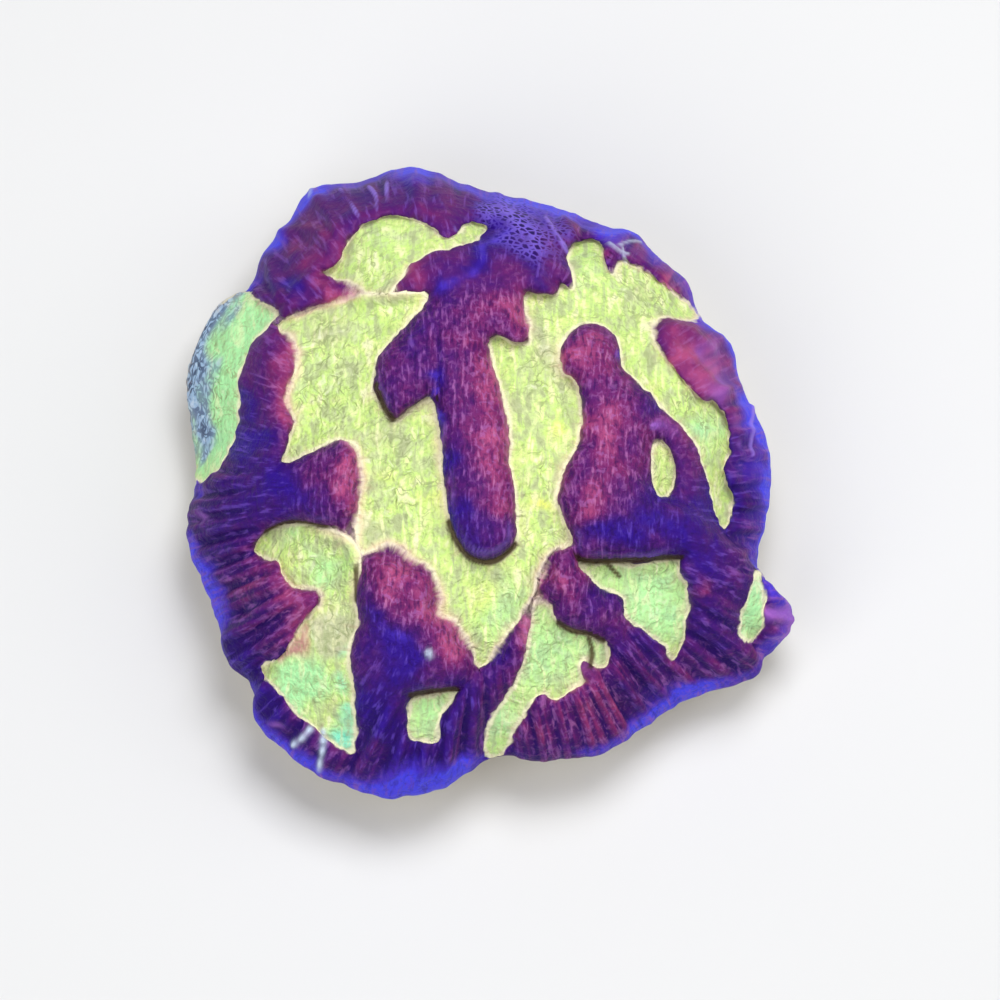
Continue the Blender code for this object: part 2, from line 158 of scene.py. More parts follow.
# Soft round patches on the drawing: x, y and radius in pixels, and strength.
patches = {
    "blue": [
        (437, 415, 13, 0.8), (444, 462, 13, 0.9), (452, 512, 16, 0.9), (480, 538, 24, 0.6),
        (500, 250, 34, 0.6), (545, 262, 20, 0.6), (490, 222, 30, 0.4), (530, 212, 34, 0.6),
        (245, 490, 45, 0.3), (292, 488, 22, 0.5), (248, 400, 12, 0.6), (245, 438, 18, 1.0),
        (240, 650, 40, 0.6), (265, 705, 26, 0.7), (374, 612, 13, 0.9), (392, 645, 20, 1.0),
        (412, 668, 18, 0.9), (380, 705, 34, 0.7), (425, 765, 50, 0.8), (495, 655, 24, 0.5),
        (470, 705, 26, 0.6), (645, 520, 34, 0.8), (695, 512, 40, 0.8), (612, 528, 22, 0.6),
        (624, 350, 12, 0.8), (645, 405, 13, 0.7), (748, 490, 34, 0.8), (705, 560, 34, 0.5),
        (725, 620, 40, 0.5), (600, 600, 20, 0.6), (645, 640, 24, 0.6), (640, 700, 26, 0.4),
        (740, 365, 16, 0.6), (420, 340, 16, 0.4), (275, 270, 20, 0.1), (255, 300, 16, 0.1),
        (300, 290, 15, 0.8), (272, 252, 12, 0.5), (400, 184, 44, 0.5), (445, 195, 30, 0.4),
        (352, 200, 34, 0.3), (742, 440, 16, 0.6), (452, 288, 12, 0.9), (476, 262, 14, 0.9),
        (440, 375, 10, 0.9), (285, 470, 20, 0.4), (230, 530, 34, 0.15), (735, 560, 30, 0.3),
        (604, 240, 30, 0.3),
    ],
    "crimson": [
        (486, 395, 22, 0.6), (492, 450, 18, 0.6), (498, 505, 12, 0.7), (510, 300, 22, 0.7),
        (520, 322, 12, 0.8), (587, 360, 18, 0.7), (597, 430, 24, 0.8), (588, 495, 24, 0.8),
        (352, 478, 17, 0.9), (345, 455, 12, 0.7), (347, 510, 10, 0.8), (288, 355, 12, 0.8),
        (286, 405, 12, 0.8), (400, 580, 28, 1.0), (452, 638, 18, 0.9), (432, 612, 16, 0.8),
        (300, 612, 20, 0.8), (285, 590, 18, 0.5), (290, 642, 14, 0.5), (325, 240, 26, 0.4),
        (385, 200, 26, 0.25), (432, 205, 20, 0.4), (328, 297, 14, 0.8), (415, 274, 12, 0.7),
        (680, 350, 22, 0.6), (708, 376, 17, 0.7), (590, 700, 28, 0.7), (545, 730, 16, 0.7),
        (664, 362, 12, 0.8), (702, 582, 12, 0.7), (560, 575, 17, 0.9), (773, 611, 9, 0.9),
        (332, 478, 14, 0.7), (682, 278, 14, 0.8), (610, 257, 6, 1.0), (350, 300, 16, 0.7),
        (245, 590, 18, 0.4), (280, 380, 15, 0.7), (470, 335, 16, 0.4), (497, 430, 12, 0.7),
        (502, 470, 12, 0.6), (488, 370, 12, 0.6), (250, 620, 26, 0.4), (524, 632, 11, 1.0),
        (300, 255, 16, 0.3), (260, 575, 20, 0.3), (524, 332, 11, 1.0), (568, 362, 10, 0.9),
    ],
    "mint": [  # mint green flesh
        (225, 370, 60, 1.0), (215, 450, 40, 0.9), (245, 315, 30, 0.8), (300, 685, 28, 1.3),
        (328, 570, 20, 0.6), (290, 540, 16, 0.5), (752, 606, 40, 1.0), (348, 690, 12, 0.8),
        (700, 430, 22, 0.7), (650, 600, 60, 0.7), (428, 715, 34, 0.6), (550, 655, 55, 0.5),
        (500, 610, 40, 0.3), (500, 725, 30, 0.6), (370, 250, 40, 0.2), (590, 270, 30, 0.25),
    ],
    "turquoise": [
        (344, 738, 14, 1.0), (352, 680, 9, 0.5), (350, 715, 8, 0.6), (756, 580, 14, 0.6),
        (349, 652, 9, 0.4),
    ],
    "flush": [  # pinkish flesh
        (294, 649, 12, 1.2), (306, 636, 8, 0.7), (350, 296, 10, 0.8), (345, 542, 9, 0.5),
    ],
    "sunny": [  # buttery yellow
        (541, 508, 12, 0.9), (556, 430, 13, 0.7), (438, 500, 14, 0.7), (430, 440, 12, 0.5),
        (420, 300, 16, 0.5), (325, 712, 16, 0.35), (655, 395, 14, 0.6), (480, 600, 22, 0.5),
        (540, 300, 14, 0.4), (590, 280, 20, 0.3), (390, 480, 16, 0.4),
    ],
    "tan": [  # greyish tan flesh
        (330, 330, 24, 0.7), (380, 440, 22, 0.6), (372, 530, 16, 0.8), (345, 385, 22, 0.3),
        (545, 360, 22, 0.9), (535, 330, 14, 0.6), (640, 300, 26, 0.5), (690, 330, 16, 0.5),
        (545, 570, 14, 0.9), (338, 628, 22, 1.3), (324, 640, 14, 0.9), (328, 714, 13, 0.5),
        (395, 292, 18, 0.6), (500, 575, 26, 0.4), (520, 620, 14, 0.4),
    ],
    "electric": [  # the tissue's blue, painted bright as a glow from inside; less of it where the strength is negative
        (400, 785, 30, 0.9), (440, 780, 22, 0.8), (212, 605, 18, 0.3), (202, 575, 14, 0.4),
        (768, 490, 26, 1.2), (758, 420, 20, 0.9), (560, 206, 30, 0.8), (745, 462, 18, 0.7),
        (740, 530, 24, 0.5), (738, 355, 12, 0.5), (400, 640, 11, 1.2), (438, 372, 7, 1.4),
        (440, 392, 7, 2.0), (444, 414, 6, 2.0), (446, 450, 6, 1.6), (449, 492, 6, 1.2),
        (384, 625, 9, 1.0), (388, 360, 6, 1.0), (444, 296, 8, 1.3), (430, 306, 7, 0.9),
        (700, 470, 12, 0.6), (655, 520, 16, 0.8), (300, 288, 12, 0.9), (456, 284, 8, 1.5),
        (468, 271, 9, 1.5), (484, 256, 9, 1.4), (500, 244, 10, 1.2), (447, 432, 6, 1.6),
        (614, 348, 8, 1.2), (311, 191, 8, 1.6), (278, 245, 12, 0.8), (252, 285, 12, 0.8),
        (420, 172, 24, 0.7), (620, 236, 20, 0.9), (545, 756, 40, -0.9), (650, 706, 26, 0.5),
        (238, 668, 34, -0.7), (200, 512, 26, -0.8), (500, 756, 20, -0.4), (505, 192, 24, -0.3),
        (590, 216, 26, -0.2),
    ],
    "shallow": [  # where a valley's flesh swells up nearly level with the ridges
        (400, 250, 62, 1.0), (455, 232, 30, 1.0), (222, 380, 80, 1.0), (752, 606, 34, 1.0),
        (425, 725, 26, 0.7), (640, 625, 42, 0.8), (545, 665, 60, 0.8), (300, 680, 60, 0.8),
        (310, 560, 40, 0.5), (702, 440, 50, 0.6), (640, 280, 60, 0.7), (660, 470, 24, 0.5),
        (495, 730, 40, 0.8), (690, 330, 40, 0.6), (662, 352, 22, 1.0), (684, 384, 18, 0.8),
    ],
    "lilacEdge": [  # where a thin painted lilac highlight follows a ridge's edge
        (380, 402, 20, 1.0), (385, 350, 24, 0.5), (480, 545, 36, 1.0), (442, 430, 22, 0.8),
        (446, 490, 20, 0.8), (600, 540, 36, 0.8), (650, 545, 36, 0.6), (310, 512, 40, 0.6),
        (262, 340, 20, 0.5), (520, 310, 16, 0.5), (575, 340, 20, 0.5), (725, 480, 20, 0.5),
        (432, 684, 24, 0.5), (520, 610, 14, 0.7), (575, 615, 20, 0.5),
    ],
    "wrinkled": [  # flesh with many wrinkles
        (340, 370, 40, 0.9), (400, 440, 28, 0.8), (338, 630, 24, 1.0), (545, 360, 28, 0.9),
        (640, 285, 40, 0.8), (690, 410, 26, 0.6), (520, 520, 30, 0.4), (390, 500, 26, 0.5),
        (380, 250, 40, 0.5), (550, 390, 20, 0.4), (215, 400, 40, 0.6), (310, 560, 30, 0.5),
        (430, 600, 20, 0.5), (650, 600, 26, 0.4), (545, 650, 26, 0.5),
    ],
    "smoothEdge": [  # without nicks
        (663, 469, 34, 1.0), (484, 540, 30, 0.6), (590, 345, 30, 0.5), (612, 264, 16, 1.0),
        (566, 280, 14, 1.0),
    ],
    "border": [  # where the cream border of a valley is wide
        (434, 450, 30, 1.0), (436, 400, 16, 0.7), (446, 510, 18, 0.7), (360, 480, 24, 0.9),
        (362, 530, 22, 1.0), (400, 300, 30, 0.6), (310, 312, 26, 0.9), (290, 360, 26, 0.8),
        (286, 410, 20, 0.6), (400, 548, 30, 0.8), (440, 596, 22, 0.7), (548, 560, 22, 1.0),
        (566, 470, 18, 0.6), (690, 320, 24, 0.5), (560, 350, 16, 0.5), (500, 640, 20, 0.6),
        (352, 590, 20, 0.8), (340, 530, 20, 0.8), (260, 655, 16, 0.6), (640, 445, 30, 0.4),
    ],
    "grey": [  # the pale blue-grey rim at the left
        (201, 330, 18, 0.9), (194, 360, 18, 1.0), (191, 392, 17, 1.0), (195, 425, 16, 0.9),
        (200, 452, 12, 0.6), (218, 305, 15, 0.9), (240, 294, 11, 0.6),
    ],
    # a purplish pink tint, partly the flesh's own and partly painted highlight
    "mauve": [
        (200, 515, 10, 0.8), (280, 715, 10, 0.7), (700, 352, 20, 0.6), (722, 385, 18, 0.7),
        (781, 620, 14, 1.2), (446, 440, 8, 0.8), (656, 428, 5, 1.0), (212, 600, 14, 0.3),
        (664, 424, 14, 0.5), (736, 420, 12, 0.5), (742, 446, 8, 0.5),
    ],
    "honeycomb": [  # the net of dark pits near the top
        (502, 214, 16, 1.0), (525, 224, 20, 1.0), (545, 240, 16, 0.9), (512, 238, 14, 0.6),
    ],
    "soft": [  # where a ridge eases into the valley in fine fibres, with no crease at its foot
        (400, 555, 26, 1.0), (440, 600, 18, 0.9), (462, 640, 16, 0.9), (362, 480, 20, 0.8),
        (350, 520, 14, 0.6), (292, 350, 16, 0.7), (290, 400, 18, 0.7), (305, 312, 22, 0.8),
        (350, 298, 18, 0.8), (545, 570, 18, 0.9), (524, 320, 14, 0.4), (660, 330, 16, 0.4),
        (690, 390, 16, 0.2), (655, 425, 14, 0.7), (320, 600, 14, 0.4), (300, 640, 18, 0.8),
        (640, 262, 22, 0.6), (690, 305, 18, 0.7), (500, 650, 16, 0.6), (662, 350, 20, 0.3),
        (533, 600, 14, 1.0),
    ],
}


def smoothCurve(points, closed):
    corners = np.array(points, dtype=float)
    if closed:
        before, after, later = (np.roll(corners, shift, axis=0) for shift in (1, -1, -2))
        here = corners
    else:
        padded = np.vstack([2 * corners[0] - corners[1], corners, 2 * corners[-1] - corners[-2]])
        before, here, after, later = padded[:-3], padded[1:-2], padded[2:-1], padded[3:]
    t = np.arange(drawn["curveSteps"])[None, :, None] / drawn["curveSteps"]
    a, b, c, d = (stack[:, None, :] for stack in (before, here, after, later))
    curve = 0.5 * (2 * b + (c - a) * t + (2 * a - 5 * b + 4 * c - d) * t**2 + (3 * b - a - 3 * c + d) * t**3)
    curve = curve.reshape(-1, 2)
    return curve if closed else np.vstack([curve, corners[-1]])


def inMetres(pixels):
    return (np.array(pixels, dtype=float) - drawn["centre"]) * [pixel, -pixel]


def smoothStep(low, high, value):
    share = np.clip((value - low) / (high - low), 0, 1)
    return share * share * (3 - 2 * share)


def mixed(start, end, share):
    return start + (end - start) * share


def bellCurve(value, width):
    return np.exp(-((value / width) ** 2))


def nearestOnLine(places, line, closed):
    # distance, way along the line and direction away from it, and whether a place is inside
    ends = np.roll(line, -1, axis=0) if closed else line[1:]
    starts = line if closed else line[:-1]
    nearest = np.full(len(places), np.inf)
    way = np.zeros(len(places))
    away = np.zeros((len(places), 2))
    inside = np.zeros(len(places), dtype=bool)
    walked = 0.0
    for start, end in zip(starts, ends):
        run = end - start
        length = math.sqrt(max(run @ run, 1e-14))  # never zero
        offset = places - start
        share = np.clip(offset @ run / length**2, 0, 1)
        gap = offset - share[:, None] * run
        square = (gap**2).sum(axis=1)
        closer = square < nearest
        nearest = np.where(closer, square, nearest)
        way = np.where(closer, walked + share * length, way)
        away[closer] = gap[closer]
        if closed and run[1] != 0:
            spans = (start[1] > places[:, 1]) != (end[1] > places[:, 1])
            crossing = start[0] + (places[:, 1] - start[1]) * run[0] / run[1]
            inside ^= spans & (places[:, 0] < crossing)
        walked += length
    distance = np.sqrt(nearest)
    away /= np.maximum(distance, 1e-7)[:, None]
    return distance, way, away, inside


def nearestOfLines(places, lines):
    distance = np.full(len(places), np.inf)
    way = np.zeros(len(places))
    for line in lines:
        here, along = nearestOnLine(places, inMetres(smoothCurve(line, closed=False)), closed=False)[:2]
        way = np.where(here < distance, along, way)
        distance = np.minimum(distance, here)
    return distance, way


def bandAlong(places, lines, width):
    # 1 on the lines, and fading out to both sides
    return bellCurve(nearestOfLines(places, lines)[0], width)


def valleyEdges(places):
    # signed distance from the nearest valley's edge (ridges are positive), way along it and uphill
    gap = np.full(len(places), np.inf)
    way = np.zeros(len(places))
    uphill = np.zeros((len(places), 2))
    start = 0.0
    for outline in valleyOutlines.values():
        line = inMetres(smoothCurve(outline, closed=True))
        distance, along, away, inside = nearestOnLine(places, line, closed=True)
        signed = np.where(inside, -distance, distance)
        closer = signed < gap
        gap = np.where(closer, signed, gap)
        way = np.where(closer, start + along, way)
        uphill[closer] = np.where(inside[:, None], -away, away)[closer]
        start += 1.0  # keeps the ways of two valleys apart
    return gap, way, uphill


def patchSum(places, name):
    total = np.zeros(len(places))
    for x, y, radius, strength in patches[name]:
        offset = places - inMetres((x, y))
        total += strength * np.exp(-(offset**2).sum(axis=1) / (radius * pixel) ** 2)
    return total


def noiseAt(points, size, seed=0.0):
    shift = Vector((seed * 17.3, seed * 5.1, seed * 9.7))  # far enough that no two patterns match
    return np.array([noise.noise(Vector(point) / size + shift) for point in points])


# The envelope: a dome that the crests of the ridges touch, the lip and the wall below it
envelope = {
    "crownHeight": 0.050,
    "lipHeight": 0.015,
    "lipWave": 0.0022,
    "lipWaveReach": 0.011,
    "lipBends": [(3, 0.8, 0.6), (5, 2.1, 0.4)],  # waves round the head, phase, share
    "gridSteps": 308,
    "lipShare": 0.85,  # of the sheet's radius that lies above the lip
    "lipPoint": 7,  # of the section
    "section": [  # share of the lip's radius, share of the crown's height
        (0.00, 1.000), (0.16, 0.992), (0.34, 0.962), (0.54, 0.884), (0.72, 0.762), (0.86, 0.600),
        (0.955, 0.430), (1.00, 0.300), (0.985, 0.215), (0.92, 0.165), (0.82, 0.120), (0.745, 0.060),
        (0.715, 0.000), (0.70, -0.060),
    ],
}


def lipWave(angle):
    return envelope["lipWave"] * sum(s * np.sin(n * angle + p) for n, p, s in envelope["lipBends"])


def lipRadius():
    spot = inMetres(smoothCurve(lipOutline, closed=True))
    rise = lipWave(np.arctan2(spot[:, 1] / sine, spot[:, 0]))
    y = (spot[:, 1] - rise * cosine) / sine
    angle = np.arctan2(y, spot[:, 0])
    order = np.argsort(angle)
    return angle[order], np.hypot(spot[:, 0], y)[order]


def sectionAt(share):
    line = smoothCurve(envelope["section"], closed=False)
    steps = np.diff(line, axis=0) * [drawn["headWidth"] / 2, envelope["crownHeight"]]
    walked = np.concatenate([[0], np.cumsum(np.hypot(steps[:, 0], steps[:, 1]))])
    lip = walked[envelope["lipPoint"] * drawn["curveSteps"]]
    lipShare = envelope["lipShare"]
    below = lip + (share - lipShare) / (1 - lipShare) * (walked[-1] - lip)
    along = np.where(share < lipShare, share / lipShare * lip, below)
    return np.interp(along, walked, line[:, 0]), np.interp(along, walked, line[:, 1]), along - lip


def wrapSheet(square):
    a, b = square[:, 0], square[:, 1]
    discX = a * np.sqrt(1 - b * b / 2)
    discY = b * np.sqrt(1 - a * a / 2)
    share = np.clip(np.hypot(discX, discY), 0, 1)
    angle = np.arctan2(discY, discX)
    radiusShare, heightShare, pastLip = sectionAt(share)
    angles, radii = lipRadius()
    radius = radiusShare * np.interp(angle, angles, radii, period=2 * math.pi)
    height = heightShare * envelope["crownHeight"]
    fromLip = (height - envelope["lipHeight"]) / envelope["lipWaveReach"]
    height = height + lipWave(angle) * np.exp(-(fromLip**2))
    return np.column_stack([radius * np.cos(angle), radius * np.sin(angle), height]), angle, pastLip


def drawnPlace(points):
    up = points[:, 1] * sine + (points[:, 2] - envelope["lipHeight"]) * cosine
    return np.column_stack([points[:, 0], up])


# The relief, in metres. Ways past the lip are negative above it.
relief = {
    "valleysEnd": 0.004,  # past the lip
    "leastFacing": 0.35,  # keeps the way uphill short where the envelope is steep
    "mostStretch": 2.0,  # of a way on the envelope, against its drawn length
    "nicks": [(0.0030, 0.0005, 14), (0.0012, 0.0003, 15)],  # in valley edges: size, depth, seed
    "gather": 0.55,  # how strongly the sheet's points crowd at the ridges' feet
    "gatherReach": 0.0017,
    "valleyDepth": 0.0065,
    "rimValleyDepth": 0.0016,
    "shallowShare": 0.5,  # of that depth, where the flesh swells
    "rimStretch": 0.027,  # over which the valleys get shallower towards the lip
    "shoulder": (0.0042, 0.0075),  # from a ridge's foot to its crest, firm and soft
    "shoulderPower": (0.52, 0.95),  # the lower, the steeper the flank and the flatter the crest
    "overhang": 0.00035,  # how far a ridge's flank bulges over the valley
    "floorSag": 0.0007,
    "floorSagReach": 0.005,
    "lowWallHeight": 0.0022,
    "lowWallWidth": 0.0018,
    "creaseDepth": 0.0009,
    "creaseWidth": 0.0008,
    "fineCreaseWidth": 0.0006,
    "fineCreaseShare": 0.85,
    "foldsStart": (-0.026, -0.011),  # past the lip, where they begin and where they are full
    "foldsEnd": (0.004, 0.009),  # where they begin to fade and where they are gone
    "foldDepth": 0.0006,
    "foldDepthAtLip": 0.00012,
    "foldShareBehind": 0.3,
    "foldCount": 66,
    "foldsEase": 0.008,  # above the lip, over which they get shallower
    "foldSway": 0.35,  # size of the bends in the folds' spacing, for a head of radius 1
    "foldSwell": 0.16,  # and of the changes in their height
    "behind": (0.2, 0.8),  # sine of the angle, where the back begins and where it is full
    "fineFoldDepth": 0.00022,
    "fineFoldCount": 138,
    "fineFoldsEase": 0.006,
    "fineFoldSlant": 180,
    "pleatedSide": (2.2, 0.75),  # angle round the head and width, in radians
    "calmSide": (0.35, 0.65),
    "pleatHeight": 0.0005,
    "pleatWidth": 0.0005,
    "pleatPiece": 0.006,  # how far a pleat runs before it fades for a while
    "broadHeight": 0.0009,
    "broadWidth": 0.0012,
    "costaDepth": 0.0004,
    "costaCount": 88,
    "costaeStart": (0.007, 0.012),  # past the lip, on the bare foot
    "lumpSize": 0.009,
    "lumpHeight": 0.0006,
    "skinSize": 0.0021,
    "skinHeight": 0.00020,
    "streakHeight": 0.00022,
    "streakWidths": (0.0011, 0.0010),  # near the crown and further out
    "quietSides": {"pleated": 0.75, "calm": 0.85, "behind": 0.5},  # how far streaks fade out there
    "upShare": 0.27,  # how slowly the streaks near the crown change along their length
    "outShare": 0.30,  # and those further out
    "fannedOut": (0.030, 0.040),  # from the middle, where streaks turn from upright to fanned
    "wrinkleSize": 0.0017,
    "wrinkleHeight": 0.00055,
    "wrinkledSize": 0.008,  # of the stretches with more wrinkles
    "wrinklesStart": (0.0005, -0.0012),  # from the valley's edge
    "fibreSize": 0.0011,
    "fibreShare": 0.16,  # how slowly the fibres change along their length
    "fibreHeight": 0.00022,
    "fibreReach": 0.0022,
    "beadHeight": 0.0005,
    "beadWidth": 0.0005,
    "beadLength": 0.0019,
    "threadHeight": 0.0003,
    "threadWidth": 0.00022,
}


def moveTo(mesh, points):
    # moves the vertices and gives their new normals
    mesh.vertices.foreach_set("co", points.ravel())
    mesh.update()
    normals = np.empty(points.size)
    mesh.vertices.foreach_get("normal", normals)
    return normals.reshape(-1, 3)


def findEdges(sheet):
    # how far each point is from a valley's edge, and the way uphill from it along the envelope
    places = drawnPlace(sheet.points)
    gap, sheet.way, sheet.uphill = valleyEdges(places)
    across = np.column_stack([sheet.uphill[:, 0], sheet.uphill[:, 1] * sine, sheet.uphill[:, 1] * cosine])
    facing = np.maximum(sheet.normals @ toView, relief["leastFacing"])
    sheet.climb = across - toView * ((across * sheet.normals).sum(axis=1) / facing)[:, None]
    sheet.above = 1 - smoothStep(0, relief["valleysEnd"], sheet.pastLip)

    nicked = sheet.above * np.clip(1 - patchSum(places, "smoothEdge"), 0, 1)
    for size, depth, seed in relief["nicks"]:
        gap = gap + depth * noiseAt(sheet.points, size, seed) * nicked
    pull = -relief["gather"] * gap * bellCurve(gap, relief["gatherReach"]) * sheet.above
    sheet.points = sheet.points + sheet.climb * pull[:, None]
    sheet.places = drawnPlace(sheet.points)
    sheet.gap = gap + pull
    sheet.trueGap = sheet.gap * np.clip(np.linalg.norm(sheet.climb, axis=1), 1, relief["mostStretch"])


def sinkValleys(sheet):
    sheet.soft = np.clip(patchSum(sheet.places, "soft"), 0, 1)
    rise = np.clip(sheet.trueGap / mixed(*relief["shoulder"], sheet.soft), 0, 1)
    sheet.crest = (1 - (1 - rise) ** 2) ** mixed(*relief["shoulderPower"], sheet.soft)
    sheet.toRim = smoothStep(-relief["rimStretch"], 0, sheet.pastLip)
    sheet.shallow = np.clip(patchSum(sheet.places, "shallow"), 0, 1)
    depth = relief["valleyDepth"] * mixed(1, relief["shallowShare"], sheet.shallow)
    depth = mixed(depth, relief["rimValleyDepth"], sheet.toRim)
    sag = relief["floorSag"] * smoothStep(0, relief["floorSagReach"], -sheet.trueGap)
    wall = relief["lowWallHeight"] * bandAlong(sheet.places, lowWalls, relief["lowWallWidth"])
    crease = bandAlong(sheet.places, creaseLines, relief["creaseWidth"])
    fineCrease = bandAlong(sheet.places, fineCreases, relief["fineCreaseWidth"])
    sheet.crease = np.maximum(crease, relief["fineCreaseShare"] * fineCrease)
    sunk = (sheet.crest - 1) * depth - sag + wall * (sheet.gap < 0) - relief["creaseDepth"] * sheet.crease
    sheet.sunk = sunk * sheet.above


def foldLip(sheet):
    # radial folds on the lip: broad pleats alone at the upper left, calm at the right, shallow behind
    sheet.ring = np.column_stack([np.cos(sheet.angle), np.sin(sheet.angle), np.zeros(len(sheet.angle))])
    aboveLip = np.maximum(sheet.points[:, 2] - envelope["lipHeight"] - lipWave(sheet.angle), 0)
    sheet.fan = np.arctan2(sheet.points[:, 1] * sine + aboveLip * cosine, sheet.points[:, 0])
    sway = noiseAt(sheet.ring, relief["foldSway"], 3)
    swell = 0.55 + 0.9 * np.clip(noiseAt(sheet.ring, relief["foldSwell"], 4) + 0.5, 0, 1)
    (pleatedAngle, pleatedWidth), (calmAngle, calmWidth) = relief["pleatedSide"], relief["calmSide"]
    sheet.pleated = bellCurve(sheet.angle - pleatedAngle, pleatedWidth)
    sheet.calm = bellCurve(sheet.angle - calmAngle, calmWidth)
    sheet.behind = smoothStep(*relief["behind"], np.sin(sheet.angle)) * (1 - 0.4 * sheet.pleated)
    sheet.foldBand = sheet.crest * smoothStep(*relief["foldsStart"], sheet.pastLip)
    sheet.foldBand *= 1 - smoothStep(*relief["foldsEnd"], sheet.pastLip)

    atLip = smoothStep(-relief["foldsEase"], 0, sheet.pastLip)
    depth = mixed(relief["foldDepth"], relief["foldDepthAtLip"], atLip)
    depth *= mixed(1, relief["foldShareBehind"], sheet.behind)
    folds = np.cos(relief["foldCount"] * sheet.fan + 1.6 * np.sin(4 * sheet.fan) + 3 * sway)
    sheet.folds = folds * swell * (1 - 0.6 * sheet.calm) * (1 - 0.7 * sheet.pleated)
    slant = relief["fineFoldSlant"] * sheet.pastLip * np.sin(9 * sheet.fan)
    fineFolds = np.cos(relief["fineFoldCount"] * sheet.fan + 2.5 * np.sin(5 * sheet.fan + 1) + slant)
    sheet.fineFolds = fineFolds * (1 - sheet.pleated) * (1 - 0.7 * sheet.calm) * (1 - 0.8 * sheet.behind)
    fineDepth = relief["fineFoldDepth"] * (1 - 0.8 * smoothStep(-relief["fineFoldsEase"], 0, sheet.pastLip))
    broad = bandAlong(sheet.places, foldLines, relief["broadWidth"]) * sheet.above * sheet.crest
    sheet.pleats = bandAlong(sheet.places, pleatLines, relief["pleatWidth"]) * sheet.above
    sheet.pleats *= np.clip(0.8 + 0.7 * noiseAt(sheet.points, relief["pleatPiece"], 13), 0, 1)
    costae = np.cos(relief["costaCount"] * sheet.angle) * smoothStep(*relief["costaeStart"], sheet.pastLip)
    height = relief["costaDepth"] * costae + relief["pleatHeight"] * sheet.pleats
    height += relief["broadHeight"] * broad
    return height + sheet.foldBand * (depth * sheet.folds + fineDepth * sheet.fineFolds)


def growFlesh(sheet):
    # lumps, a pebbled skin with streaks on the ridges, wrinkles and fibres in the valleys, slime
    flat = np.zeros(len(sheet.points))
    radius = np.hypot(sheet.places[:, 0], sheet.places[:, 1])
    sheet.outer = smoothStep(*relief["fannedOut"], radius)
    around = relief["fannedOut"][1] * np.column_stack([np.cos(sheet.fan), np.sin(sheet.fan)])
    sheet.aroundAndOut = np.column_stack([around, radius * relief["outShare"]])
    sheet.upAndDown = np.column_stack([sheet.places[:, 0], sheet.places[:, 1] * relief["upShare"], flat])
    quiet = sum(share * getattr(sheet, side) for side, share in relief["quietSides"].items())
    sheet.lively = np.clip(1 - quiet * sheet.outer, 0, 1) * mixed(1, 0.6, sheet.outer)
    upright, fanned = relief["streakWidths"]
    streaks = mixed(noiseAt(sheet.upAndDown, upright, 5), noiseAt(sheet.aroundAndOut, fanned, 6), sheet.outer)
    skin = noiseAt(sheet.points, relief["skinSize"], 1) * relief["skinHeight"]
    height = skin + streaks * relief["streakHeight"]
    height *= sheet.crest * sheet.above * mixed(0.4, 1, sheet.lively)
    height += noiseAt(sheet.points, relief["lumpSize"]) * relief["lumpHeight"]

    wrinkles = np.abs(noiseAt(sheet.points + 0.4 * skin[:, None], relief["wrinkleSize"], 7))
    wrinkled = 0.15 + 0.8 * patchSum(sheet.places, "wrinkled")
    wrinkled += 0.6 * noiseAt(sheet.points, relief["wrinkledSize"], 11)
    wrinkled += 1.1 * noiseAt(sheet.points, relief["wrinkleSize"], 12)
    sheet.wrinkled = np.clip(wrinkled, 0, 1)
    wrinkles = (0.35 - wrinkles) * sheet.above * mixed(0.4, 1, sheet.wrinkled)
    height += relief["wrinkleHeight"] * wrinkles * smoothStep(*relief["wrinklesStart"], sheet.trueGap)
    sheet.edgeWay = np.column_stack([sheet.way, sheet.trueGap * relief["fibreShare"], flat])
    sheet.nearEdge = bellCurve(sheet.trueGap, relief["fibreReach"]) * sheet.above
    height += relief["fibreHeight"] * noiseAt(sheet.edgeWay, relief["fibreSize"], 2) * sheet.nearEdge

    distance, way = nearestOfLines(sheet.places, beadedThreads)
    sheet.beads = 0.75 + 0.25 * np.cos(2 * math.pi * way / relief["beadLength"])
    sheet.beads *= bellCurve(distance, relief["beadWidth"]) * sheet.above
    sheet.threads = bandAlong(sheet.places, fineThreads, relief["threadWidth"]) * sheet.above
    return height + relief["beadHeight"] * sheet.beads + relief["threadHeight"] * sheet.threads


# Where the tints lie: widths and ways in metres
tints = {
    "wander": 0.0035,  # how far a patch's edge strays
    "wanderSize": 0.006,
    "rimWidth": 0.0012,
    "rimGlowWidth": 0.003,
    "rimStray": 0.0016,
    "lipAbove": 0.0018,  # the reach of the lip's blue above the lip and below it
    "lipBelow": 0.003,
    "paintedLightSide": (0.85, 0.35, 0.0),  # flanks that face this way are painted redder, as if lit from there
    "paintedLightShare": 0.22,
    "litSize": 0.15,  # of the changes in the rim's painted blue glow, for a head of radius 1
    "rosyHighlightLine": (0.0002, 0.00055),  # way up the ridge and width
    "lilacHighlightLine": (0.0014, 0.0007),
    "paintedUndercutShadeWidth": 0.0007,
    "creaseReach": 0.0012,
    # patches that are painted just as they are listed
    "patches": ("honeycomb", "mauve", "mint", "turquoise", "flush", "sunny", "tan", "grey"),
}


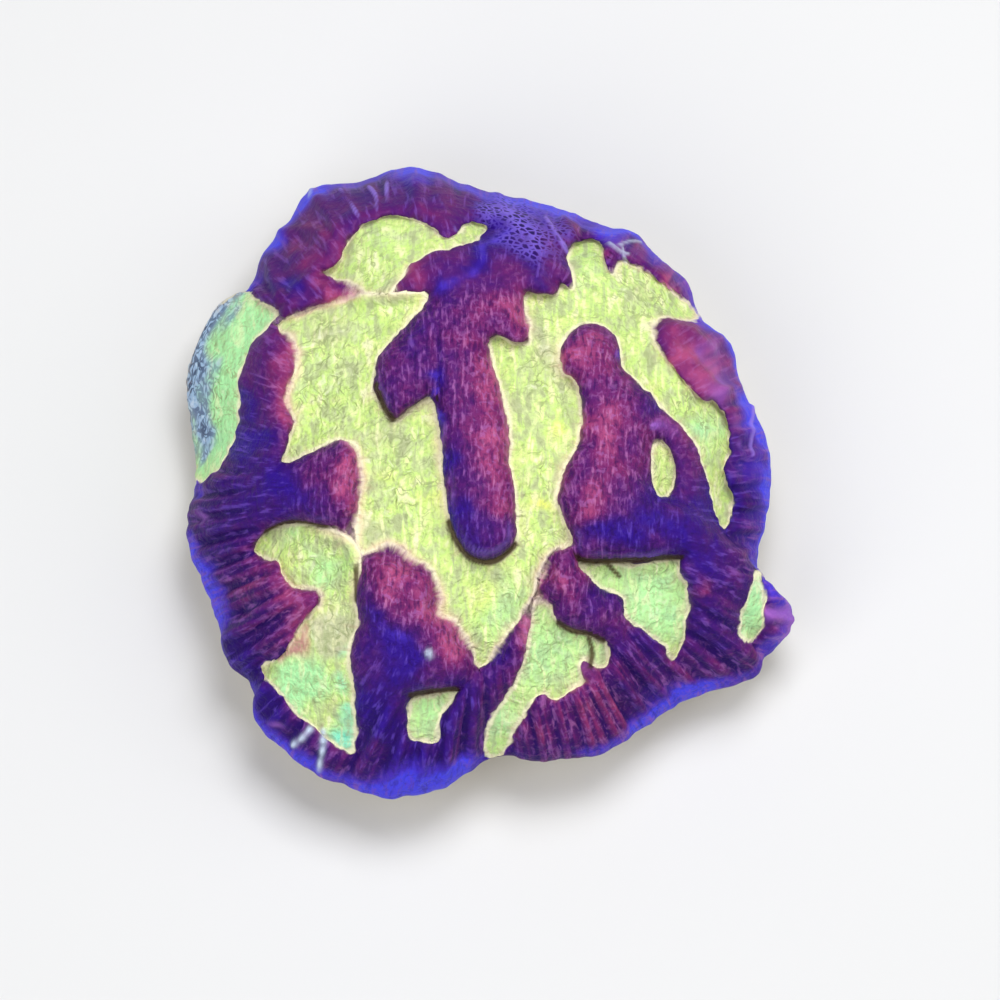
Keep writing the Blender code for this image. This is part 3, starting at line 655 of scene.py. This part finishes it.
def tintMasks(sheet):
    # how much of each tint every point gets; the lip's blue is painted bright as a glow all the way round
    outline = inMetres(smoothCurve(lipOutline, closed=True))
    fromOutline = nearestOnLine(sheet.places, outline, closed=True)[0]
    fromOutline += tints["rimStray"] * noiseAt(sheet.points, tints["wanderSize"], 16)
    wander = np.column_stack([noiseAt(sheet.points, tints["wanderSize"], seed) for seed in (9, 10)])
    places = sheet.places + tints["wander"] * wander
    blue = 0.5 + 0.5 * patchSum(places, "blue") - 0.5 * patchSum(places, "crimson")
    # painted light: ridge flanks that face one way are made redder, the others stay bluer
    blue -= tints["paintedLightShare"] * (sheet.normals @ np.array(tints["paintedLightSide"])) * sheet.crest * sheet.above
    lipReach = np.where(sheet.pastLip > 0, tints["lipBelow"], tints["lipAbove"])
    rim = np.maximum(bellCurve(fromOutline, tints["rimWidth"]), bellCurve(sheet.pastLip, lipReach))
    rim = rim + 0.4 * bellCurve(fromOutline, tints["rimGlowWidth"])
    lit = patchSum(places, "electric")
    electric = (rim * (0.7 + 0.5 * lit) + 0.42 * lit) * (0.9 + 0.7 * noiseAt(sheet.ring, tints["litSize"], 8))
    (rosyPlace, rosyWidth), (lilacPlace, lilacWidth) = tints["rosyHighlightLine"], tints["lilacHighlightLine"]
    rosyEdge = bellCurve(sheet.trueGap - rosyPlace, rosyWidth) * sheet.above
    lilacEdge = bellCurve(sheet.trueGap - lilacPlace, lilacWidth) * sheet.above
    shadedFeet = np.clip(sheet.uphill[:, 1] - 0.35 * sheet.uphill[:, 0], 0, 1)  # ridge feet that face the front, where shade is painted
    shadedFeet = shadedFeet * (1 - sheet.soft) * (1 - sheet.shallow) * sheet.above
    masks = {
        "edgeGap": sheet.trueGap,
        "undercut": shadedFeet * bellCurve(sheet.trueGap, tints["paintedUndercutShadeWidth"]),
        "crease": sheet.crease * (sheet.gap < tints["creaseReach"]),
        "fold": sheet.foldBand * sheet.folds,
        "fineFold": sheet.foldBand * sheet.fineFolds,
        "pleat": sheet.pleats,
        "border": 0.2 + patchSum(places, "border"),
        "lilacEdge": lilacEdge * patchSum(places, "lilacEdge"),
        "rosyEdge": rosyEdge * np.clip(1.3 - 2 * blue, 0, 1),
        "thread": sheet.beads + 0.55 * sheet.threads,
        "blue": blue,
        "rosy": np.clip(1.3 - 1.5 * blue, 0, 1) * mixed(0.4, 1, sheet.lively),
        "electric": electric,
    }
    for name in tints["patches"]:
        masks[name] = patchSum(places, name)
    for name in ("pastLip", "soft", "nearEdge", "wrinkled", "lively", "outer"):
        masks[name] = getattr(sheet, name)
    return masks


def makeHead():
    bpy.ops.object.select_all(action="DESELECT")
    steps = envelope["gridSteps"]
    bpy.ops.mesh.primitive_grid_add(x_subdivisions=steps, y_subdivisions=steps, size=2)
    head = bpy.context.active_object
    head.name = head.data.name = "coralHead"
    mesh = head.data
    flat = np.empty(len(mesh.vertices) * 3)
    mesh.vertices.foreach_get("co", flat)
    points, angle, pastLip = wrapSheet(flat.reshape(-1, 3)[:, :2])
    sheet = SimpleNamespace(points=points, angle=angle, pastLip=pastLip, normals=moveTo(mesh, points))
    print("head: envelope wrapped,", len(points), "points")

    findEdges(sheet)
    sinkValleys(sheet)
    height = foldLip(sheet) + growFlesh(sheet)
    bulge = np.sin(math.pi * np.clip(sheet.crest, 0, 1)) * (sheet.gap > 0)
    bulge *= (1 - sheet.soft) * sheet.above * (1 - 0.8 * sheet.toRim)
    shaped = sheet.points + sheet.normals * height[:, None] + toView * sheet.sunk[:, None]
    sheet.points = shaped - sheet.climb * (relief["overhang"] * bulge)[:, None]
    sheet.normals = moveTo(mesh, sheet.points)
    print("head: ridges, valleys and folds raised")

    for name, values in tintMasks(sheet).items():
        mesh.attributes.new(name, "FLOAT", "POINT").data.foreach_set("value", values.astype(np.float32))
    for name in tissue["ways"]:
        ways = getattr(sheet, name).ravel()
        mesh.attributes.new(name, "FLOAT_VECTOR", "POINT").data.foreach_set("vector", ways)
    print("head: tints laid")
    return head


# The head is sawn off where it stood on the rock
cut = {
    "height": 0,
    "merge": 0.000001,  # points this near to the plane count as on it
    "near": 0.00001,  # how near the sawn face is to the plane, and how square to it
    "square": 0.99,
}


def cutFlat(head):
    bpy.ops.object.mode_set(mode="EDIT")
    bpy.ops.mesh.select_all(action="SELECT")
    plane = {"plane_co": (0, 0, cut["height"]), "plane_no": (0, 0, 1)}
    bpy.ops.mesh.bisect(**plane, use_fill=True, clear_inner=True, threshold=cut["merge"])
    bpy.ops.mesh.select_all(action="DESELECT")
    bpy.ops.object.mode_set(mode="OBJECT")
    for face in head.data.polygons:
        near = abs(face.center.z - cut["height"]) < cut["near"]
        if near and len(face.vertices) > 4 and abs(face.normal.z) > cut["square"]:
            face.material_index = 1
    print("head: cut flat,", len(head.data.polygons), "faces")


def linearColour(hexCode):
    channels = [int(hexCode[i:i + 2], 16) / 255 for i in (1, 3, 5)]
    return [c / 12.92 if c <= 0.04045 else ((c + 0.055) / 1.055) ** 2.4 for c in channels] + [1]


def addNode(tree, kind, links=None, output=0, stops=None, **settings):
    # adds a shader node with its settings, links and values, and gives one of its outputs
    node = tree.nodes.new("ShaderNode" + kind)
    for name, value in settings.items():
        setattr(node, name, value)
    for socket, value in (links or {}).items():
        if isinstance(value, bpy.types.NodeSocket):
            tree.links.new(value, node.inputs[socket])
        else:
            node.inputs[socket].default_value = value
    if stops:
        elements = node.color_ramp.elements
        while len(elements) < len(stops):
            elements.new(0.5)
        for element, (place, hexCode) in zip(elements, stops):
            element.position = place
            element.color = linearColour(hexCode)
    return node.outputs[output]


# Living coral tissue: thin wet flesh over a hard skeleton. It looks soft and slightly glossy, with
# fluorescent pigments that seem to glow from inside, so a little of its colour is given off as light.
tissue = {
    "glow": 0.10,
    "roughness": 0.5,
    "ior": 1.38,
    "specular": 0.12,  # low, because tissue hardly mirrors anything
    "ridgeRamp": [(0.0, "#ac4a78"), (0.27, "#7e2a64"), (0.5, "#5c1e66"), (0.78, "#3c1670"), (1.0, "#301484")],
    "valleyRamp": [
        (0.40, "#b2bc8c"), (0.46, "#c4d892"), (0.51, "#c4e480"), (0.56, "#d6e890"), (0.62, "#e6ecb8"),
    ],
    "ridgeMix": [("mottle", 0.5), ("blotch", 0.3)],  # masks and weights that choose from the ramps
    "ridgeShift": -0.4,
    "valleyMix": [("mottle", 0.4), ("flow", 0.35), ("blotch", 0.25)],
    "ways": ("edgeWay", "aroundAndOut", "upAndDown"),  # laid on the head, for patterns that follow it
    "noises": {  # what places it, size in millimetres, detail, distortion
        "mottle": ("place", 4.5, 3.0, 0.0),
        "blotch": ("place", 1.8, 3.0, 0.0),
        "grain": ("place", 0.7, 2.0, 0.0),
        "speckle": ("place", 1.1, 2.0, 0.4),
        "wrinkle": ("place", 2.0, 1.0, 0.9),
        "fibre": ("edgeWay", 1.0, 2.0, 0.0),
        "flow": ("upAndDown", 1.3, 2.0, 0.8),
        "straight": ("upAndDown", 0.68, 3.0, 0.25),
        "fanned": ("aroundAndOut", 0.70, 3.0, 0.3),
    },
    "combSize": 1.15,  # in millimetres
    # layers of paint, from the first to the last: mask, from, to, most, colour, gate
    "ridgeLayers": [
        ("fold", 0.0, -0.6, 0.7, "#220a5c", None),
        ("fineFold", 0.2, -0.7, 0.7, "#220a5c", None),
        # the tissue's blue, painted brighter as a glow
        ("electric", 0.12, 0.65, 0.75, "#4c34c4", None),
        ("electric", 0.55, 1.1, 0.85, "#4846e6", None),
        ("streak", 0.48, 0.34, 0.55, "#2a0c50", "lively"),
        # pale streaks and specks: painted highlights on the skin's small bumps
        ("streak", 0.52, 0.70, 0.7, "#5c40b0", "blue"),
        ("streak", 0.52, 0.70, 0.75, "#b86c9c", "rosy"),
        ("speckle", 0.52, 0.68, 0.5, "#a060a4", "rosy"),
        ("speckle", 0.46, 0.34, 0.38, "#280e50", "lively"),
        ("pleat", 0.25, 0.85, 0.7, "#9478dc", None),
        ("comb", 0.16, 0.30, 0.85, "#1e0a56", "honeycomb"),
        ("comb", 0.20, 0.08, 0.7, "#7860d4", "honeycomb"),
        # painted highlight: a pale rosy band along the crimson ridges' edges
        ("rosyEdge", 0.1, 1.0, 0.75, "#d488a4", "fibre"),
        # painted highlight: a thin lilac line along the ridges' edges
        ("lilacEdge", 0.2, 1.0, 0.8, "#8a6ccc", "mottle"),
        # purplish pink, partly the flesh's own tint and partly painted highlight
        ("mauve", 0.1, 1.0, 0.8, "#9c62c4", None),
        # painted shade under the ridge feet that face the front
        ("undercut", 0.2, 1.0, 0.5, "#240c30", None),
        # painted shade in the clefts at the ridges' feet
        ("crease", 0.3, 0.8, 0.9, "#38241c", None),
    ],
    "valleyLayers": [
        ("tan", 0.0, 1.0, 0.8, "#b8b69a", None),
        ("mint", 0.0, 1.0, 0.9, "#aaeeaa", None),
        ("sunny", 0.1, 1.0, 0.75, "#e8ea70", None),
        ("turquoise", 0.0, 0.9, 0.85, "#74ecd0", None),
        ("flush", 0.2, 1.0, 0.85, "#b46c7c", None),
        ("flow", 0.48, 0.34, 0.35, "#a4b47c", None),
        ("flow", 0.52, 0.68, 0.45, "#f0f2bc", None),
        ("grain", 0.46, 0.34, 0.35, "#a0ac78", None),
        # wrinkles painted with a pale highlight beside a dark shaded line
        ("furrow", 0.36, 0.26, 0.5, "#eef2d0", "wrinkled"),
        ("furrow", 0.43, 0.48, 0.7, "#8c9868", "wrinkled"),
        ("grey", 0.1, 0.7, 0.85, "#98b0e0", None),
        ("furrow", 0.38, 0.28, 0.8, "#ccdcea", "grey"),
        ("furrow", 0.40, 0.46, 0.9, "#2a3858", "grey"),
        ("edgeGap", -0.0024, -0.0002, 0.8, "#e8d8b0", "border"),
        ("edgeGap", -0.0016, 0.0000, 0.75, "#d8a498", "soft"),
        ("edgeGap", -0.0010, -0.0003, 0.8, "#f4eccc", None),
        ("fibre", 0.46, 0.32, 0.4, "#b89c80", "nearEdge"),
        # painted shade on the valley floor under the ridge feet that face the front
        ("undercut", 0.3, 0.9, 0.5, "#5a4428", None),
        # painted shade in the clefts at the ridges' feet
        ("crease", 0.25, 0.8, 0.9, "#54452c", None),
    ],
    "thread": "#ccdcf0",
    "skeleton": "#d9cdb2",
    "fray": (0.0006, 0.0036),  # how far fibres reach over the edge, firm and soft
    "blur": (0.00025, 0.0013),  # of the edge, firm and soft
    "tissueEnds": (0.0055, 0.0070),  # past the lip
    "tissueStray": 0.003,
    "speckleBump": 1.2,  # against the streaks
    "wrinkleBump": 2.0,  # against the grain
    "bumpStrength": (0.3, 0.85),  # where the skin is calm and where it is lively
    "bumpHeight": 0.0005,
}


def tissueMaterial(head):
    material = bpy.data.materials.new("livingCoralTissue")
    material.use_nodes = True
    tree = material.node_tree
    shader = tree.nodes["Principled BSDF"]

    # the masks: attributes painted on the head, noises and cells
    masks = {}
    for name in head.data.attributes.keys():
        if head.data.attributes[name].data_type == "FLOAT":
            masks[name] = addNode(tree, "Attribute", output="Fac", attribute_name=name)
    places = {"place": addNode(tree, "TexCoord", output="Object")}
    for name in tissue["ways"]:
        places[name] = addNode(tree, "Attribute", output="Vector", attribute_name=name)
    for name, (where, size, detail, distortion) in tissue["noises"].items():
        links = {"Vector": places[where], "Scale": 1000 / size, "Detail": detail, "Distortion": distortion}
        masks[name] = addNode(tree, "TexNoise", links)
    # thin lines where the wrinkle noise is at its middle
    masks["furrow"] = addNode(tree, "Math", {0: masks["wrinkle"], 1: 0.5}, operation="PINGPONG")
    links = {"Vector": places["place"], "Scale": 1000 / tissue["combSize"]}
    masks["comb"] = addNode(tree, "TexVoronoi", links, "Distance", feature="DISTANCE_TO_EDGE")
    # along the ridges near the crown, out to the lip further off
    links = {"Factor": masks["outer"], 2: masks["straight"], 3: masks["fanned"]}
    masks["streak"] = addNode(tree, "Mix", links, data_type="FLOAT")

    # the ground colours, crimson to blue ridges and lime valleys, and the layers over them
    links = {0: masks["blue"], 1: tissue["ridgeShift"]}
    grounds = {"ridge": addNode(tree, "Math", links, operation="ADD"), "valley": 0.0}
    painted = {}
    for part, ground in grounds.items():
        for mask, weight in tissue[part + "Mix"]:
            ground = addNode(tree, "Math", {0: masks[mask], 1: weight, 2: ground}, operation="MULTIPLY_ADD")
        painted[part] = addNode(tree, "ValToRGB", {"Fac": ground}, stops=tissue[part + "Ramp"])
        for mask, low, high, most, tint, gate in tissue[part + "Layers"]:
            links = {"Value": masks[mask], "From Min": low, "From Max": high, "To Max": most}
            share = addNode(tree, "MapRange", links, interpolation_type="SMOOTHSTEP")
            if gate:
                share = addNode(tree, "Math", {0: share, 1: masks[gate]}, operation="MULTIPLY")
            links = {"Factor": share, 6: painted[part], 7: linearColour(tint)}
            painted[part] = addNode(tree, "Mix", links, 2, data_type="RGBA")

    # the edge between ridge and valley, frayed by fibres and blurred where it is soft
    reach = {}
    for name in ("fray", "blur"):
        links = {"Value": masks["soft"], "To Min": tissue[name][0], "To Max": tissue[name][1]}
        reach[name] = addNode(tree, "MapRange", links)
    fibre = addNode(tree, "Math", {0: masks["fibre"], 1: 0.5}, operation="SUBTRACT")
    links = {0: fibre, 1: reach["fray"], 2: masks["edgeGap"]}
    frayed = addNode(tree, "Math", links, operation="MULTIPLY_ADD")
    back = addNode(tree, "Math", {0: reach["blur"], 1: -1.0}, operation="MULTIPLY")
    links = {"Value": frayed, "From Min": back, "From Max": reach["blur"]}
    onRidge = addNode(tree, "MapRange", links, interpolation_type="SMOOTHSTEP")

    # the tissue ends below the lip, and the bare skeleton shows from there down
    links = {0: masks["mottle"], 1: tissue["tissueStray"], 2: masks["pastLip"]}
    stray = addNode(tree, "Math", links, operation="MULTIPLY_ADD")
    links = {"Value": stray, "From Min": tissue["tissueEnds"][0], "From Max": tissue["tissueEnds"][1]}
    bare = addNode(tree, "MapRange", links, interpolation_type="SMOOTHSTEP")
    colour = painted["valley"]
    covers = [
        (onRidge, painted["ridge"]),
        (masks["thread"], linearColour(tissue["thread"])),
        (bare, linearColour(tissue["skeleton"])),
    ]
    for share, cover in covers:
        colour = addNode(tree, "Mix", {"Factor": share, 6: colour, 7: cover}, 2, data_type="RGBA")
    tree.links.new(colour, shader.inputs["Base Color"])
    tree.links.new(colour, shader.inputs["Emission Color"])
    shader.inputs["Emission Strength"].default_value = tissue["glow"]
    shader.inputs["Roughness"].default_value = tissue["roughness"]
    shader.inputs["IOR"].default_value = tissue["ior"]
    shader.inputs["Specular IOR Level"].default_value = tissue["specular"]

    # fine relief: specks and streaks on the ridges, wrinkles and grain in the valleys
    links = {0: masks["speckle"], 1: tissue["speckleBump"], 2: masks["streak"]}
    ridgeHeight = addNode(tree, "Math", links, operation="MULTIPLY_ADD")
    links = {0: masks["wrinkle"], 1: tissue["wrinkleBump"], 2: masks["grain"]}
    valleyHeight = addNode(tree, "Math", links, operation="MULTIPLY_ADD")
    links = {"Factor": onRidge, 2: valleyHeight, 3: ridgeHeight}
    height = addNode(tree, "Mix", links, data_type="FLOAT")
    calm, lively = tissue["bumpStrength"]
    strength = addNode(tree, "MapRange", {"Value": masks["lively"], "To Min": calm, "To Max": lively})
    links = {"Height": height, "Strength": strength, "Distance": tissue["bumpHeight"]}
    tree.links.new(addNode(tree, "Bump", links), shader.inputs["Normal"])
    print("tissue: painted")
    return material


# Aragonite skeleton, sawn across: pale, dull and full of fine pores
skeleton = {
    "poreSize": 1.1,  # in millimetres
    "poreRamp": [(0.0, "#9a8a70"), (0.25, "#d2c6aa"), (0.6, "#e4dac2")],
    "poreBump": 0.6,
    "poreDepth": 0.0004,
    "roughness": 0.85,
}


def skeletonMaterial():
    material = bpy.data.materials.new("sawnAragonite")
    material.use_nodes = True
    tree = material.node_tree
    shader = tree.nodes["Principled BSDF"]
    place = addNode(tree, "TexCoord", output="Object")
    links = {"Vector": place, "Scale": 1000 / skeleton["poreSize"]}
    pores = addNode(tree, "TexVoronoi", links, "Distance")
    colour = addNode(tree, "ValToRGB", {"Fac": pores}, stops=skeleton["poreRamp"])
    tree.links.new(colour, shader.inputs["Base Color"])
    shader.inputs["Roughness"].default_value = skeleton["roughness"]
    links = {"Height": pores, "Strength": skeleton["poreBump"], "Distance": skeleton["poreDepth"]}
    tree.links.new(addNode(tree, "Bump", links), shader.inputs["Normal"])
    print("skeleton: painted")
    return material


studio = {
    "floorSize": 6,
    "floorColour": "#dcdcdc",
    "floorRoughness": 0.9,
    "sky": (0.95, 0.97, 1, 1),
    "skyStrength": 0.32,
    "lampAim": (0, 0, 0.02),
    "lamps": [  # place, size, watts
        ((0.12, 0.18, 0.82), 0.40, 5.0),
        ((0.55, 0.00, 0.60), 0.50, 1.2),
        ((-0.35, -0.50, 0.65), 0.60, 3.0),
    ],
    "cameraDistance": 4.8,
    "cameraReach": 20,
}


def makeStudio():
    bpy.ops.object.select_all(action="DESELECT")
    bpy.ops.mesh.primitive_plane_add(size=studio["floorSize"])
    floor = bpy.context.active_object
    floor.name = "floor"
    paper = bpy.data.materials.new("palePaper")
    paper.use_nodes = True
    shader = paper.node_tree.nodes["Principled BSDF"]
    shader.inputs["Base Color"].default_value = linearColour(studio["floorColour"])
    shader.inputs["Roughness"].default_value = studio["floorRoughness"]
    floor.data.materials.append(paper)

    world = bpy.data.worlds.new("studio")
    bpy.context.scene.world = world
    world.use_nodes = True
    background = world.node_tree.nodes["Background"]
    background.inputs["Color"].default_value = studio["sky"]
    background.inputs["Strength"].default_value = studio["skyStrength"]
    for number, (spot, size, watts) in enumerate(studio["lamps"]):
        light = bpy.data.lights.new(f"softbox{number}", "AREA")
        light.size = size
        light.energy = watts
        lamp = bpy.data.objects.new(light.name, light)
        bpy.context.collection.objects.link(lamp)
        lamp.location = spot
        aim = Vector(studio["lampAim"]) - Vector(spot)
        lamp.rotation_euler = aim.to_track_quat("-Z", "Y").to_euler()
    print("studio: floor and", len(studio["lamps"]), "lamps placed")


def addCamera():
    lens = bpy.data.cameras.new("camera")
    lens.lens = lens.sensor_width * studio["cameraDistance"] / (drawn["viewWidth"] * pixel)
    lens.clip_end = studio["cameraReach"]
    camera = bpy.data.objects.new("camera", lens)
    bpy.context.collection.objects.link(camera)
    middle = inMetres((drawn["viewWidth"] / 2, drawn["viewWidth"] / 2))
    aim = Vector((middle[0], middle[1] * sine, envelope["lipHeight"] + middle[1] * cosine))
    camera.location = aim + Vector(toView) * studio["cameraDistance"]
    camera.rotation_euler = (math.pi / 2 - drawn["elevation"], 0, 0)
    bpy.context.scene.camera = camera
    bpy.context.scene.view_settings.view_transform = "Standard"
    print("camera: placed")


addCamera()
makeStudio()
head = makeHead()
head.data.materials.append(tissueMaterial(head))
head.data.materials.append(skeletonMaterial())
cutFlat(head)
head.data.shade_smooth()
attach(head, "root")
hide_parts("coral_head")
print("scene: everything in place")
